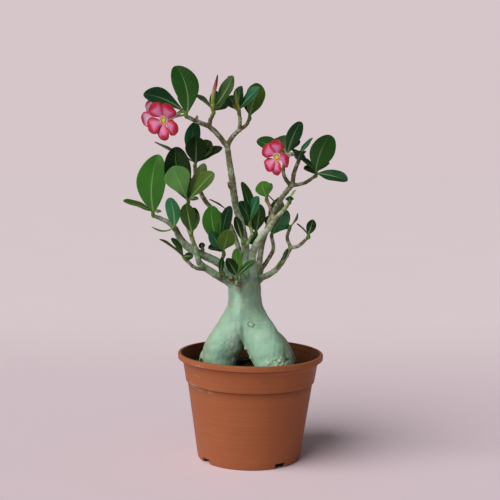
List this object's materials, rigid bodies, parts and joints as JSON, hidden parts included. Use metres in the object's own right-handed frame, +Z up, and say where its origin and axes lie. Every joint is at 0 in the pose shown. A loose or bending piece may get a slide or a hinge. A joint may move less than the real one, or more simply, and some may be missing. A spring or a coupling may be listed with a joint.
{
  "type": "potted desert rose adenium",
  "caption": "Potted desert rose: forked swollen caudex, bare branches, leathery leaf whorls, pink flowers and buds in a plain pot of soil.",
  "frame": {"origin": "centre of the pot's flat underside, on the surface it stands on", "axes": "+Z up the plant, -Y towards the side that faces the viewer, +X to the right seen from there"},
  "size_m": [0.2545, 0.17, 0.4531],
  "materials": {
    "pot_plastic": "satin terracotta-brown moulded plastic",
    "potting_soil": "damp dark potting mix with bark",
    "stem_bark": "smooth grey-green bark",
    "leaf_green": "leathery, semi-gloss",
    "petal_pink": "velvety, pink with crimson edges"
  },
  "bodies": {
    "root": {"pot": "pot_plastic", "soil": "potting_soil", "caudex_and_branches": "stem_bark", "leaves_top_left": "leaf_green", "leaves_top_spur": "leaf_green", "leaves_top_fork_left": "leaf_green", "leaves_top_fork_right": "leaf_green", "leaves_left_back": "leaf_green", "leaves_left_upper": "leaf_green", "leaves_left_inner": "leaf_green", "leaves_left_end": "leaf_green", "leaves_left_spur": "leaf_green", "leaves_left_knee": "leaf_green", "leaves_left_base": "leaf_green", "leaves_low_left": "leaf_green", "leaves_heart_left": "leaf_green", "leaves_heart_back": "leaf_green", "leaves_heart_front": "leaf_green", "leaves_heart_shoot": "leaf_green", "leaves_heart_side": "leaf_green", "leaves_pale_twig_end": "leaf_green", "leaves_pale_end": "leaf_green", "leaves_right_back": "leaf_green", "leaves_middle_back": "leaf_green", "leaves_right_fork": "leaf_green", "leaves_right_middle": "leaf_green", "leaves_right_end": "leaf_green", "leaves_low_right": "leaf_green", "leaves_low_right_bud": "leaf_green", "leaves_low_right_spur": "leaf_green", "corolla_front": "petal_pink", "corolla_behind": "petal_pink", "corolla_right": "petal_pink", "furled_bud_tall": "petal_pink", "furled_bud_behind": "petal_pink"}
  },
  "joints": []
}
